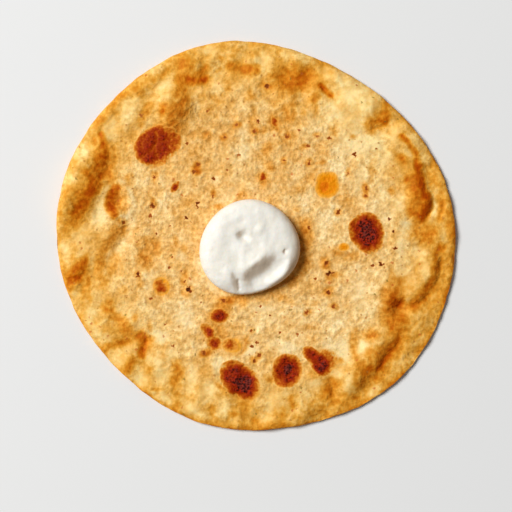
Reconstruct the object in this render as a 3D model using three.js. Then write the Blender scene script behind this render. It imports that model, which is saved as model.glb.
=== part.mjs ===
// Paratha flatbread with a dollop of yogurt, in millimetres, +Z up, resting on z = 0.
// The bread is a thin griddled disc: flat below, nearly flat in the middle above, with a rim
// of rolls, puffs and creases. The yogurt is a thick round dollop that sits on the middle.
import * as THREE from "three";
import { mergeVertices } from "three/addons/utils/BufferGeometryUtils.js";

// Driving sizes of the bread.
const BREAD_RADIUS = 107.5;
const MIDDLE_THICKNESS = 4.8;
const EDGE_THICKNESS = 4.2;
const LEAST_THICKNESS = 2.2;
const EDGE_EQUATOR = 2.2;
const EDGE_ROUNDING = 4.2;
const RIM_WIDTH = 24;
const UNDERSIDE_LIFT = 0.8;
const UNDERSIDE_LIFT_WIDTH = 14;

// Driving sizes of the yogurt.
const YOGURT_X = -2.6;
const YOGURT_Y = -7.4;
const YOGURT_RADIUS = 26.5;
const YOGURT_HEIGHT = 10.5;
const YOGURT_EQUATOR = 3.6;
const YOGURT_FOOT_TUCK = 2.2;
const YOGURT_DOME_SHARE = 0.08;
const YOGURT_EDGE_SQUARENESS = 10;
const YOGURT_GAP = 0.3;
const YOGURT_REST_MARGIN = 8;

// Fineness of the meshes: rings of triangles round the middle of a face.
const BREAD_TOP_RINGS = 34;
const BREAD_UNDER_RINGS = 8;
const YOGURT_TOP_RINGS = 18;
const YOGURT_UNDER_RINGS = 4;
// Distances in from the outline of the outermost rings, which follow the rounded edges.
const BREAD_EDGE_INSETS = [0, 0.4, 1.3, 2.7, 4.6, 7.2, 10.2];
const BREAD_UNDER_EDGE_INSETS = [2.2, 7, 15];
const YOGURT_EDGE_INSETS = [0, 0.15, 0.6, 1.4, 2.6];
// Corners closer together than this are one corner.
const SAME_CORNER = 1e-4;
// Two corners at the same share of a turn, apart from rounding.
const SAME_SHARE = 1e-9;
// Steps round an outline when its box is measured.
const OUTLINE_STEPS = 720;

// How a fold fades at its ends: the share of full height that its tips keep, the length of the
// fade in widths, and the share of full width that its tips keep.
const FOLD_TIP_HEIGHT = 0.15;
const FOLD_FADE_WIDTHS = 1.2;
const FOLD_TIP_WIDTH = 0.55;
const FOLD_STEP = 3;

// Each outline is a circle that a few slow waves pull out of round:
// waves per turn, height as a share of the radius, and the angle of the crest in degrees.
const BREAD_OUTLINE_WAVES = [
  { count: 1, share: 0.0139, crest: -79 },
  { count: 2, share: 0.0275, crest: -30 },
  { count: 3, share: 0.0065, crest: -12 },
  { count: 4, share: 0.0053, crest: 5 },
  { count: 5, share: 0.0067, crest: 29 },
  { count: 6, share: 0.0019, crest: 16 },
  { count: 7, share: 0.0027, crest: 1 },
];
const YOGURT_OUTLINE_WAVES = [
  { count: 1, share: 0.03, crest: 146 },
  { count: 2, share: 0.04, crest: 21 },
  { count: 3, share: 0.023, crest: -16 },
  { count: 4, share: 0.005, crest: -11 },
];

// Rolls (height above 0) and creases (below 0) of the bread, each along a short path.
// Places on the bread are measured from the middle of its disc.
const BREAD_FOLDS = [
  // The broad roll along the left edge, and its lower, flatter continuation.
  {
    path: [[-108, 4], [-103.5, 12], [-99, 20], [-94.5, 29], [-91, 38], [-88.5, 48]],
    width: 14.5,
    height: 5.2,
  },
  { path: [[-109, 8], [-105, 20], [-100, 32], [-95, 43]], width: 10, height: 1.8 },
  { path: [[-88, 24], [-83.5, 31], [-80.5, 38], [-79, 48]], width: 6, height: -1.0 },
  { path: [[-88, 56], [-78, 68], [-64, 80], [-48, 90], [-30, 97]], width: 9, height: 1.7 },
  { path: [[-46, 86], [-60, 79], [-72, 68], [-78, 57]], width: 5, height: -0.4 },
  { path: [[-62, 62], [-59, 68], [-56, 75]], width: 5, height: -1.0 },
  // The crest of the big puff on the upper left, steep on its right side, and a low swell beyond.
  { path: [[-47.5, 58], [-45.5, 66], [-44.5, 75], [-42.5, 84]], width: 14, height: 5.0 },
  { path: [[-29, 62], [-27, 70], [-25, 78]], width: 9, height: 1.2 },
  // A groove and a crack near the top.
  { path: [[28.5, 92], [28, 85], [25.5, 78], [24, 71]], width: 6, height: -2.3 },
  { path: [[34.5, 83], [38.5, 80], [42, 76.5], [44.5, 73]], width: 3.5, height: -1.4 },
  // The crease round the lower right end of the puff on the upper right.
  { path: [[60, 55], [68, 57.5], [76, 60.5], [81, 67]], width: 5, height: -1.1 },
  // The ridge along the right edge, the crease outside it and a second, finer one.
  { path: [[79, 46], [83.5, 38], [86, 30], [86.5, 20], [84, 9]], width: 13, height: 1.9 },
  { path: [[93.5, 27], [96.5, 21], [97.5, 16], [95.5, 10.5], [93, 7]], width: 4.2, height: -1.3 },
  { path: [[100, 25], [101, 8]], width: 3.6, height: -1.1 },
  // The curled ridge below it and its crease.
  { path: [[93, -4], [96.5, -13], [95.5, -20], [92, -27], [87, -32], [81, -35]], width: 8, height: 1.4 },
  {
    path: [[103, -10], [102, -18], [99.5, -26], [96.5, -32.5], [91, -38], [84, -41.5]],
    width: 4,
    height: -1.2,
  },
  // The broad ridge at the lower right and the two steps down to a flat edge outside it.
  { path: [[68, -18], [71, -34], [71.5, -47]], width: 13, height: 1.5 },
  { path: [[71.5, -49], [67, -60], [59.5, -70], [53.5, -79], [48.5, -87]], width: 11.5, height: 2.1 },
  { path: [[81.5, -54], [77.5, -62], [72, -68.5], [69, -76]], width: 5, height: -1.5 },
  { path: [[62.5, -71], [62, -79], [59.5, -86], [54, -92]], width: 6, height: -1.7 },
  { path: [[105, -24], [100, -46], [91, -63], [79, -77], [65, -88], [48, -97]], width: 12, height: -1.5 },
  { path: [[43.5, -77], [43, -86], [41.5, -94]], width: 4.5, height: -1.8 },
  // Short low folds that run outwards along the bottom edge.
  { path: [[15, -86], [11, -103]], width: 6.5, height: 0.9 },
  { path: [[27, -84], [26, -98]], width: 7, height: 1.2 },
  { path: [[-32, -78], [-30, -90], [-34, -99]], width: 8, height: 0.6 },
  { path: [[-16, -88], [-16, -103]], width: 5.5, height: 1.0 },
  // Creases between the lumps at the lower left.
  { path: [[-57, -53], [-58.5, -60], [-60.5, -67.5]], width: 5, height: -2.1 },
  { path: [[-88, -60], [-77, -61], [-67, -58]], width: 5, height: -0.6 },
  { path: [[-80, -36], [-75, -44], [-69, -50], [-63, -55]], width: 6, height: -0.4 },
  { path: [[-65.5, -37], [-64, -47]], width: 4, height: -0.8 },
  // Grooves that slant down inside the left edge.
  { path: [[-67, 11], [-70.5, 3], [-76, -5], [-80.5, -12], [-84, -19]], width: 6, height: -2.0 },
  { path: [[-74, -6], [-76, -16], [-79, -25], [-82, -32]], width: 5, height: -1.6 },
  { path: [[-53, 1], [-56, -8], [-60, -17]], width: 6.5, height: -1.4 },
];

// Puffs (height above 0) and dents (below 0) of the bread: middle, half length, half width,
// turn of the length in degrees, and height.
const BREAD_PUFFS = [
  // Upper left, inside the roll: the big puff on its broad shoulder, and smaller ones.
  { x: -72, y: 62, length: 15, width: 9, turn: 50, height: 1.5 },
  { x: -62, y: 72, length: 17, width: 13, turn: 50, height: 2.2 },
  { x: -44, y: 70, length: 26, width: 22, turn: 75, height: 1.0 },
  { x: -66, y: 77, length: 6, width: 4, turn: 45, height: 0.9 },
  { x: -57, y: 85, length: 6, width: 4, turn: 30, height: 0.9 },
  { x: -33, y: 94, length: 8, width: 5, turn: 15, height: 0.7 },
  { x: -28, y: 83, length: 8, width: 4, turn: 5, height: -1.3 },
  // A chain of small lumps along the top with hollows below them.
  { x: -22, y: 95, length: 5.5, width: 4.5, turn: 0, height: 1.3 },
  { x: -12, y: 96, length: 5.5, width: 5, turn: 0, height: 1.2 },
  { x: -2, y: 96, length: 6, width: 5, turn: 0, height: 1.2 },
  { x: -20, y: 87, length: 8, width: 4, turn: 0, height: -0.9 },
  { x: -5, y: 87, length: 8, width: 4, turn: 0, height: -0.9 },
  { x: 8, y: 94, length: 10, width: 6.5, turn: 0, height: 1.5 },
  { x: 25, y: 97, length: 11, width: 6, turn: -12, height: 1.0 },
  { x: 18.5, y: 84, length: 8.5, width: 8, turn: 10, height: -1.9 },
  // Upper right: a low puff, a big smooth one and the hollow at its end.
  { x: 47, y: 84, length: 10, width: 6, turn: -35, height: 1.2 },
  { x: 60, y: 71, length: 18, width: 13, turn: -40, height: 2.5 },
  { x: 73, y: 59.5, length: 8.5, width: 5.5, turn: 25, height: -1.9 },
  // Right: the dents in the ridges and the deep dimple between them.
  { x: 80, y: 43, length: 4.5, width: 4.5, turn: 0, height: -0.9 },
  { x: 74, y: 40, length: 18, width: 12, turn: 80, height: 0.8 },
  { x: 95.5, y: 33, length: 8.5, width: 6.5, turn: 100, height: -1.0 },
  { x: 79.3, y: -39.5, length: 7.6, width: 7.4, turn: 90, height: -4.0 },
  { x: 85, y: -44, length: 9, width: 7.5, turn: -30, height: -0.8 },
  { x: 62, y: -54, length: 5.5, width: 4.5, turn: 0, height: -0.9 },
  { x: 66, y: -77, length: 8, width: 6, turn: 50, height: -1.0 },
  // Bottom: hollows between the folds.
  { x: 0, y: -99, length: 12, width: 8, turn: 0, height: -1.8 },
  { x: -24, y: -99, length: 6, width: 4.5, turn: 90, height: -1.0 },
  { x: 39, y: -101, length: 16, width: 9, turn: 12, height: -1.5 },
  { x: -40, y: -77, length: 11, width: 6, turn: 80, height: -0.9 },
  { x: -52, y: -87, length: 7, width: 5, turn: 60, height: -0.5 },
  // Lower left: lumps with dents between them.
  { x: -82, y: -52, length: 12, width: 7.5, turn: -45, height: 1.4 },
  { x: -72, y: -66, length: 8, width: 6, turn: -20, height: 1.2 },
  { x: -91, y: -43, length: 9, width: 6, turn: 70, height: 0.8 },
  { x: -97, y: -17, length: 14, width: 7.5, turn: 62, height: 1.8 },
  { x: -95, y: -33, length: 8, width: 5.5, turn: 60, height: -0.9 },
];

// A burst blister: a low ring round a lower middle.
const BLISTER_RING = { x: -74.8, y: 18.5, length: 9.6, width: 7.4, turn: 95, border: 3.6, height: 1.4 };
const BLISTER_FLOOR = { x: -75, y: 18.5, length: 8.5, width: 6.2, turn: 95, height: -1.1 };

// Uneven dough between the larger features: small soft swells of random place and height.
const SWELL_SEED = 7;
const SWELL_COUNT = 340;
const SWELL_REACH = 104;
const SWELL_RADIUS_MIN = 5;
const SWELL_RADIUS_SPREAD = 7;
const SWELL_HEIGHT = 0.55;
const SWELL_RIM_START = 66;
const SWELL_RIM_GAIN = 1.6;
const SWELL_LEAST_ROUNDNESS = 0.6;

// Slow waves that bend the bread's features sideways (along x) and lengthways (along y).
const SIDEWAYS_BENDS = [
  { reach: 0.8, alongX: 0.11, alongY: 0.29, start: 0.6 },
  { reach: 0.35, alongX: -0.33, alongY: 0.71, start: 2.0 },
];
const LENGTHWAYS_BENDS = [
  { reach: 0.8, alongX: 0.27, alongY: -0.12, start: 1.9 },
  { reach: 0.35, alongX: 0.67, alongY: 0.38, start: 0.3 },
];

// Dents and hollows in the yogurt, along paths from its own middle.
const YOGURT_FOLDS = [
  // The mound across the middle, the long slope down from it and the lip beyond.
  { path: [[11, -1], [5, -6.5], [-1, -10.5], [-6, -14.5]], width: 7, height: 1.2 },
  { path: [[17, -6], [13, -11], [6.5, -15.5], [1, -18.5], [-5, -22]], width: 9, height: -3.8 },
  { path: [[22, -5], [19.5, -11.5], [14.5, -16.5], [9, -19.5]], width: 3.2, height: 0.9 },
  { path: [[-7.5, -13], [-6.5, -18], [-5.8, -25]], width: 3.6, height: -1.3 },
  // The lower edge, drawn out thinner.
  { path: [[-15, -20], [-6, -24], [4, -24.5], [12, -21.5]], width: 6, height: -1.6 },
  // A shallow trough that the spoon left on the left half.
  { path: [[-8, 10], [-10, 2], [-9.5, -7]], width: 8, height: -0.5 },
];
const YOGURT_DENTS = [
  { x: -3.8, y: 6.4, length: 4.6, width: 4.2, turn: 0, height: -2.5 },
  { x: 1.4, y: 3.6, length: 8, width: 6.5, turn: -30, height: -0.9 },
  { x: -5.5, y: 14, length: 5, width: 3.2, turn: 30, height: -0.7 },
  { x: 5.5, y: 10.2, length: 5, width: 3.6, turn: 40, height: 0.9 },
  { x: 19, y: -2, length: 2.4, width: 1.8, turn: 70, height: -1.2 },
  { x: -12.4, y: -13.6, length: 5, width: 3.4, turn: -60, height: 1.0 },
];

const FULL_TURN = 2 * Math.PI;

function radians(degrees) {
  return (degrees * Math.PI) / 180;
}

function clampShare(value) {
  return Math.min(Math.max(value, 0), 1);
}

function easeInOut(share) {
  const s = clampShare(share);
  return s * s * (3 - 2 * s);
}

// A soft hump: 1 in the middle, 0 with no slope at distance 1 and beyond.
function softHump(distance) {
  const d = clampShare(distance);
  return (1 - d * d) ** 2;
}

// A repeatable random number generator that gives values from 0 to 1.
function seededRandom(seed) {
  let state = seed;
  return () => {
    state = (state + 0x6d2b79f5) | 0;
    let mixed = Math.imul(state ^ (state >>> 15), 1 | state);
    mixed = (mixed + Math.imul(mixed ^ (mixed >>> 7), 61 | mixed)) ^ mixed;
    return ((mixed ^ (mixed >>> 14)) >>> 0) / 4294967296;
  };
}

function outlineRadius(angle, radius, waves) {
  let share = 1;
  for (const wave of waves) {
    share += wave.share * Math.cos(wave.count * (angle - radians(wave.crest)));
  }
  return radius * share;
}

function breadRadius(angle) {
  return outlineRadius(angle, BREAD_RADIUS, BREAD_OUTLINE_WAVES);
}

function yogurtRadius(angle) {
  return outlineRadius(angle, YOGURT_RADIUS, YOGURT_OUTLINE_WAVES);
}

// The point that an outline's radii start from, placed so that the outline's box is centred on 0.
function centredStart(radiusAt) {
  const box = new THREE.Box2();
  for (let i = 0; i < OUTLINE_STEPS; i += 1) {
    const angle = (i * FULL_TURN) / OUTLINE_STEPS;
    const radius = radiusAt(angle);
    box.expandByPoint(new THREE.Vector2(radius * Math.cos(angle), radius * Math.sin(angle)));
  }
  return box.getCenter(new THREE.Vector2()).negate();
}

// Where the middle of the bread's disc lies, so that the whole is centred on the origin.
const DISC_MIDDLE = centredStart(breadRadius);

// Points along a fold's path, rounded off at its corners, with the length up to each.
function pathPoints(fold) {
  const curve = new THREE.CatmullRomCurve3(
    fold.path.map(([x, y]) => new THREE.Vector3(x, y, 0)),
    false,
    "catmullrom",
  );
  const count = Math.max(4, Math.ceil(curve.getLength() / FOLD_STEP));
  return curve.getSpacedPoints(count);
}

// Height that a fold adds at a place: a soft ridge along the path that narrows at both ends.
function foldHeight(fold, x, y) {
  fold.points ??= pathPoints(fold);
  const points = fold.points;
  const stepLength = points[0].distanceTo(points[1]);
  const fullLength = stepLength * (points.length - 1);
  let best = 0;
  for (let i = 0; i + 1 < points.length; i += 1) {
    const along = points[i + 1].clone().sub(points[i]);
    const dot = (x - points[i].x) * along.x + (y - points[i].y) * along.y;
    const share = clampShare(dot / along.lengthSq());
    const away = Math.hypot(x - points[i].x - share * along.x, y - points[i].y - share * along.y);
    const done = (i + share) * stepLength;
    const toTip = Math.min(done, fullLength - done) / (FOLD_FADE_WIDTHS * fold.width);
    const taper = easeInOut(FOLD_TIP_HEIGHT + toTip);
    const reach = fold.width * (FOLD_TIP_WIDTH + (1 - FOLD_TIP_WIDTH) * taper);
    best = Math.max(best, taper * softHump(away / reach));
  }
  return fold.height * best;
}

// Distance from the middle of a turned ellipse, as a share of its half sizes.
function ellipseShare(shape, x, y) {
  const turn = radians(shape.turn);
  const along = (x - shape.x) * Math.cos(turn) + (y - shape.y) * Math.sin(turn);
  const across = (y - shape.y) * Math.cos(turn) - (x - shape.x) * Math.sin(turn);
  return Math.hypot(along / shape.length, across / shape.width);
}

function puffHeight(puff, x, y) {
  return puff.height * softHump(ellipseShare(puff, x, y));
}

function ringHeight(ring, x, y) {
  const away = Math.abs(ellipseShare(ring, x, y) - 1) * ring.width;
  return ring.height * softHump(away / ring.border);
}

function sineWave(wave, x, y) {
  return wave.reach * Math.sin(wave.alongX * x + wave.alongY * y + wave.start);
}

// Hand-made edges are never true curves: this bends each place by a little before folds apply.
function wander(x, y) {
  let bentX = x;
  let bentY = y;
  for (const wave of SIDEWAYS_BENDS) {
    bentX += sineWave(wave, x, y);
  }
  for (const wave of LENGTHWAYS_BENDS) {
    bentY += sineWave(wave, x, y);
  }
  return { x: bentX, y: bentY };
}

function makeSwells() {
  const random = seededRandom(SWELL_SEED);
  const swells = [];
  for (let i = 0; i < SWELL_COUNT; i += 1) {
    const distance = SWELL_REACH * Math.sqrt(random());
    const angle = FULL_TURN * random();
    const size = SWELL_RADIUS_MIN + SWELL_RADIUS_SPREAD * random();
    const rimShare = clampShare((distance - SWELL_RIM_START) / (SWELL_REACH - SWELL_RIM_START));
    const gain = 1 + SWELL_RIM_GAIN * rimShare;
    swells.push({
      x: distance * Math.cos(angle),
      y: distance * Math.sin(angle),
      length: size,
      width: size * (SWELL_LEAST_ROUNDNESS + (1 - SWELL_LEAST_ROUNDNESS) * random()),
      turn: 360 * random(),
      height: SWELL_HEIGHT * gain * (random() - 0.5),
    });
  }
  return swells;
}

const SWELLS = makeSwells();

// The bread's upper surface, where "inside" is the distance in from its outline.
function breadTop(x, y, inside) {
  const bent = wander(x, y);
  let relief = ringHeight(BLISTER_RING, bent.x, bent.y) + puffHeight(BLISTER_FLOOR, bent.x, bent.y);
  for (const fold of BREAD_FOLDS) {
    relief += foldHeight(fold, bent.x, bent.y);
  }
  for (const puff of BREAD_PUFFS) {
    relief += puffHeight(puff, bent.x, bent.y);
  }
  for (const swell of SWELLS) {
    relief += puffHeight(swell, x, y);
  }
  const fromYogurt = Math.hypot(x - YOGURT_X, y - YOGURT_Y) - YOGURT_RADIUS;
  const calm = easeInOut(fromYogurt / YOGURT_REST_MARGIN);
  const body = EDGE_THICKNESS + (MIDDLE_THICKNESS - EDGE_THICKNESS) * easeInOut(inside / RIM_WIDTH);
  const full = Math.max(body + relief * calm, LEAST_THICKNESS);
  const rounding = 1 - clampShare(inside / EDGE_ROUNDING);
  return EDGE_EQUATOR + (full - EDGE_EQUATOR) * Math.sqrt(1 - rounding * rounding);
}

// The bread's lower surface: flat on the floor, lifted a little towards the outline.
function breadUnder(inside) {
  return UNDERSIDE_LIFT * (1 - easeInOut(inside / UNDERSIDE_LIFT_WIDTH)) ** 2;
}

// The yogurt's upper surface, from the height of the bread's middle up.
function yogurtTop(x, y, inside) {
  let relief = 0;
  for (const fold of YOGURT_FOLDS) {
    relief += foldHeight(fold, x, y);
  }
  for (const dent of YOGURT_DENTS) {
    relief += puffHeight(dent, x, y);
  }
  const out = 1 - clampShare(inside / YOGURT_RADIUS);
  const dome = 1 - YOGURT_DOME_SHARE * out * out;
  const rounding = Math.sqrt(1 - out ** YOGURT_EDGE_SQUARENESS);
  const full = (YOGURT_HEIGHT - YOGURT_EQUATOR) * dome + relief;
  return YOGURT_EQUATOR + full * rounding;
}

// The distances in from the outline at which a face's rings lie: close together at the edge.
function ringInsets(ringCount, radius, edgeInsets) {
  const innerCount = ringCount - edgeInsets.length;
  const innerRadius = radius - edgeInsets[edgeInsets.length - 1];
  const insets = [];
  for (let ring = 0; ring < innerCount; ring += 1) {
    insets.push(radius - (innerRadius * ring) / innerCount);
  }
  return insets.concat(edgeInsets.toReversed());
}

// One face as a fan of rings, ring k with 6 k corners: calls corner(angle, inset) for each.
function fanRings(insets, corner) {
  return insets.map((inset, ring) => {
    if (ring === 0) {
      return [corner(0, inset)];
    }
    const count = 6 * ring;
    return Array.from({ length: count }, (_, i) => corner((i * FULL_TURN) / count, inset));
  });
}

// Triangles between two closed rings of corners, both counter-clockwise seen from above.
function bandTriangles(inner, outer) {
  const triangles = [];
  let i = 0;
  let o = 0;
  while (i < inner.length || o < outer.length) {
    const innerNext = (i + 1) / inner.length;
    const outerNext = (o + 1) / outer.length;
    const a = inner[i % inner.length];
    const b = outer[o % outer.length];
    if (inner.length === 1 || outerNext <= innerNext + SAME_SHARE) {
      triangles.push([a, b, outer[(o + 1) % outer.length]]);
      o += 1;
      if (inner.length === 1 && o === outer.length) {
        break;
      }
    } else {
      triangles.push([a, b, inner[(i + 1) % inner.length]]);
      i += 1;
    }
  }
  return triangles;
}

// A closed disc-like solid from an upper fan whose last ring is the outline, and a lower fan
// that is joined to it by one more band.
function discSolid(upperRings, lowerRings) {
  const triangles = [];
  for (let ring = 1; ring < upperRings.length; ring += 1) {
    triangles.push(...bandTriangles(upperRings[ring - 1], upperRings[ring]));
  }
  const flipped = [];
  for (let ring = 1; ring < lowerRings.length; ring += 1) {
    flipped.push(...bandTriangles(lowerRings[ring - 1], lowerRings[ring]));
  }
  flipped.push(...bandTriangles(lowerRings.at(-1), upperRings.at(-1)));
  for (const [a, b, c] of flipped) {
    triangles.push([a, c, b]);
  }
  const positions = triangles.flatMap((corners) => corners.flatMap((p) => [p.x, p.y, p.z]));
  const geometry = new THREE.BufferGeometry();
  geometry.setAttribute("position", new THREE.Float32BufferAttribute(positions, 3));
  const merged = mergeVertices(geometry, SAME_CORNER);
  merged.computeVertexNormals();
  return merged;
}

function breadGeometry() {
  const place = (angle, inset, heightAt) => {
    const outline = breadRadius(angle);
    const distance = outline * (1 - inset / BREAD_RADIUS);
    const x = distance * Math.cos(angle);
    const y = distance * Math.sin(angle);
    return new THREE.Vector3(x, y, heightAt(x, y, inset));
  };
  const upperInsets = ringInsets(BREAD_TOP_RINGS, BREAD_RADIUS, BREAD_EDGE_INSETS);
  const lowerInsets = ringInsets(BREAD_UNDER_RINGS, BREAD_RADIUS, BREAD_UNDER_EDGE_INSETS);
  const underAt = (x, y, inside) => breadUnder(inside);
  const upper = fanRings(upperInsets, (angle, inset) => place(angle, inset, breadTop));
  const lower = fanRings(lowerInsets, (angle, inset) => place(angle, inset, underAt));
  return discSolid(upper, lower);
}

function yogurtGeometry() {
  const place = (angle, inset, heightAt) => {
    const outline = yogurtRadius(angle);
    const distance = outline * (1 - inset / YOGURT_RADIUS);
    const x = distance * Math.cos(angle);
    const y = distance * Math.sin(angle);
    return new THREE.Vector3(x, y, heightAt(x, y, inset));
  };
  const upperInsets = ringInsets(YOGURT_TOP_RINGS, YOGURT_RADIUS, YOGURT_EDGE_INSETS);
  const lowerInsets = ringInsets(YOGURT_UNDER_RINGS, YOGURT_RADIUS, [YOGURT_FOOT_TUCK]);
  const upper = fanRings(upperInsets, (angle, inset) => place(angle, inset, yogurtTop));
  const lower = fanRings(lowerInsets, (angle, inset) => place(angle, inset, () => 0));
  return discSolid(upper, lower);
}

function breadMesh() {
  const crust = new THREE.MeshStandardMaterial({ color: 0xe6bd83, roughness: 0.7, metalness: 0 });
  const mesh = new THREE.Mesh(breadGeometry(), crust);
  mesh.name = "paratha";
  mesh.position.set(DISC_MIDDLE.x, DISC_MIDDLE.y, 0);
  return mesh;
}

function yogurtMesh() {
  const cream = new THREE.MeshStandardMaterial({ color: 0xf7f3ea, roughness: 0.35, metalness: 0 });
  const mesh = new THREE.Mesh(yogurtGeometry(), cream);
  mesh.name = "yogurt_dollop";
  mesh.position.set(DISC_MIDDLE.x + YOGURT_X, DISC_MIDDLE.y + YOGURT_Y, MIDDLE_THICKNESS + YOGURT_GAP);
  return mesh;
}

const flatbread = new THREE.Group();
flatbread.add(breadMesh(), yogurtMesh());

export default flatbread;
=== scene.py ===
import math
import random

import bpy
import numpy as np
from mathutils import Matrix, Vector


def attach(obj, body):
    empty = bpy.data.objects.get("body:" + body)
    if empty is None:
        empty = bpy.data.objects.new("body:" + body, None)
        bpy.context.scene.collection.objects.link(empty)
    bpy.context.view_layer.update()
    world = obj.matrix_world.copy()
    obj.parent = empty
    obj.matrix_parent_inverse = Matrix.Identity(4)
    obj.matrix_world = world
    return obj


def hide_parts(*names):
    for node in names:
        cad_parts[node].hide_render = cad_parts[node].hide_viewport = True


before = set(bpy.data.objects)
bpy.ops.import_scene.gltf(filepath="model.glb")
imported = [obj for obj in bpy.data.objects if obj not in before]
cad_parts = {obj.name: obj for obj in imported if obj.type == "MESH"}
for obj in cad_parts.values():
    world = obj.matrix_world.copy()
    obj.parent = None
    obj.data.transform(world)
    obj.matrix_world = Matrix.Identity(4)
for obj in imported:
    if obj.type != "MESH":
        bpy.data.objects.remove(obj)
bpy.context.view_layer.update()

# ---------------------------------------------------------------- camera
# The food is looked at from straight above, its far side at the top of the picture.
# A longish lens about two bread widths away keeps the round outline true.
MM = 0.001
VIEW_WIDTH = 279.6 * MM
VIEW_CENTRE_X = -0.05 * MM
VIEW_CENTRE_Y = -11.13 * MM
LENS_MM = 85.0
SENSOR_MM = 36.0
PICTURED_HEIGHT = 4.5 * MM

camera_data = bpy.data.cameras.new("overhead_camera")
camera_data.lens = LENS_MM
camera_data.sensor_width = SENSOR_MM
camera_data.clip_start = 0.01
camera = bpy.data.objects.new("overhead_camera", camera_data)
bpy.context.scene.collection.objects.link(camera)
camera_height = PICTURED_HEIGHT + VIEW_WIDTH * LENS_MM / SENSOR_MM
camera.location = (VIEW_CENTRE_X, VIEW_CENTRE_Y, camera_height)
bpy.context.scene.camera = camera

# ---------------------------------------------------------------- the bread's body
# One disc of rolled wheat dough, cooked on a griddle: flat below, with rolls, puffs and creases
# round its rim. The solid gives those; here it is made finer, and its skin is roughened.
SUBDIVISIONS = 2
SAME_PLACE = 0.002 * MM
# Places on the bread are measured from the middle of its disc, in millimetres.
DISC_MIDDLE = np.array([-0.55, 0.47])


def select_only(piece):
    bpy.ops.object.select_all(action="DESELECT")
    piece.select_set(True)
    bpy.context.view_layer.objects.active = piece


def fine_copy(node_name, piece_name):
    """A smooth, finer copy of a solid, which stands for it."""
    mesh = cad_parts[node_name].data.copy()
    mesh.materials.clear()
    piece = bpy.data.objects.new(piece_name, mesh)
    bpy.context.scene.collection.objects.link(piece)
    select_only(piece)
    bpy.ops.mesh.customdata_custom_splitnormals_clear()
    bpy.ops.object.mode_set(mode="EDIT")
    bpy.ops.mesh.select_all(action="SELECT")
    bpy.ops.mesh.remove_doubles(threshold=SAME_PLACE)
    bpy.ops.object.mode_set(mode="OBJECT")
    bpy.ops.object.shade_smooth()
    bpy.ops.object.modifier_add(type="SUBSURF")
    smoothing = piece.modifiers[-1]
    smoothing.levels = SUBDIVISIONS
    smoothing.render_levels = SUBDIVISIONS
    bpy.ops.object.modifier_apply(modifier=smoothing.name)
    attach(piece, "root")
    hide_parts(node_name)
    return piece


def vertex_places(piece):
    """The places of a piece's vertices, one row each, in millimetres."""
    flat = np.empty(3 * len(piece.data.vertices))
    piece.data.vertices.foreach_get("co", flat)
    return flat.reshape(-1, 3) / MM


def vertex_normals(piece):
    flat = np.empty(3 * len(piece.data.vertices))
    piece.data.vertices.foreach_get("normal", flat)
    return flat.reshape(-1, 3)


def move_vertices(piece, places):
    piece.data.vertices.foreach_set("co", (places * MM).ravel())
    piece.data.update()


def disc_places(places):
    """x and y of each vertex from the middle of the disc."""
    return places[:, 0] - DISC_MIDDLE[0], places[:, 1] - DISC_MIDDLE[1]


def soft_hump(distance):
    """1 in the middle, falling to 0 with no slope at distance 1 and beyond."""
    d = np.clip(distance, 0, 1)
    return (1 - d * d) ** 2


def ease(share):
    s = np.clip(share, 0, 1)
    return s * s * (3 - 2 * s)


def rounded_path(path, steps=6):
    """Points along a path of corners, rounded off at each corner."""
    p = np.array(path, float)
    q = np.vstack([2 * p[0] - p[1], p, 2 * p[-1] - p[-2]])
    points = []
    for a, b, c, d in zip(q[:-3], q[1:-2], q[2:-1], q[3:]):
        for t in np.linspace(0, 1, steps, endpoint=False):
            bend = (2 * a - 5 * b + 4 * c - d) * t ** 2 + (3 * b - a - 3 * c + d) * t ** 3
            points.append(0.5 * (2 * b + (c - a) * t + bend))
    points.append(q[-2])
    return np.array(points)


# How a tapered ridge ends: its height and width at the tips, and its fade in widths.
TIP_HEIGHT = 0.15
TIP_WIDTH = 0.55
TIP_FADE_WIDTHS = 1.2


def along_path(x, y, path, width, tapered=True):
    """A soft ridge of height 1 along a path, narrower at both ends where it is tapered."""
    points = rounded_path(path)
    steps = np.hypot(*(points[1:] - points[:-1]).T)
    starts = np.concatenate([[0], np.cumsum(steps)])
    ridge = np.zeros_like(x)
    for i, (a, b) in enumerate(zip(points[:-1], points[1:])):
        run = b - a
        share = np.clip(((x - a[0]) * run[0] + (y - a[1]) * run[1]) / (run @ run + 1e-12), 0, 1)
        away = np.hypot(x - a[0] - share * run[0], y - a[1] - share * run[1])
        done = starts[i] + share * steps[i]
        to_tip = np.minimum(done, starts[-1] - done) / (TIP_FADE_WIDTHS * width)
        taper = ease(TIP_HEIGHT + to_tip) if tapered else 1.0
        reach = width * (TIP_WIDTH + (1 - TIP_WIDTH) * taper)
        ridge = np.maximum(ridge, taper * soft_hump(away / reach))
    return ridge


def ellipse_share(x, y, centre_x, centre_y, length, width, turn):
    """Distance from the middle of a turned ellipse, as a share of its half sizes."""
    t = math.radians(turn)
    along = (x - centre_x) * math.cos(t) + (y - centre_y) * math.sin(t)
    across = (y - centre_y) * math.cos(t) - (x - centre_x) * math.sin(t)
    return np.hypot(along / length, across / width)


# Slow waves that bend places: height in mm, how fast they run along x and along y, and start.
BENDS_ALONG_X = [(0.8, 0.11, 0.29, 0.6), (0.35, -0.33, 0.71, 2.0)]
BENDS_ALONG_Y = [(0.8, 0.27, -0.12, 1.9), (0.35, 0.67, 0.38, 0.3)]


def slow_waves(x, y, waves):
    return sum(height * np.sin(run_x * x + run_y * y + start) for height, run_x, run_y, start in waves)


def wander(x, y, amount=1.0):
    """Bends places by a little, since nothing made by hand is a true curve."""
    return x + amount * slow_waves(x, y, BENDS_ALONG_X), y + amount * slow_waves(x, y, BENDS_ALONG_Y)


DEGREES_ROUND = 360


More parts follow.
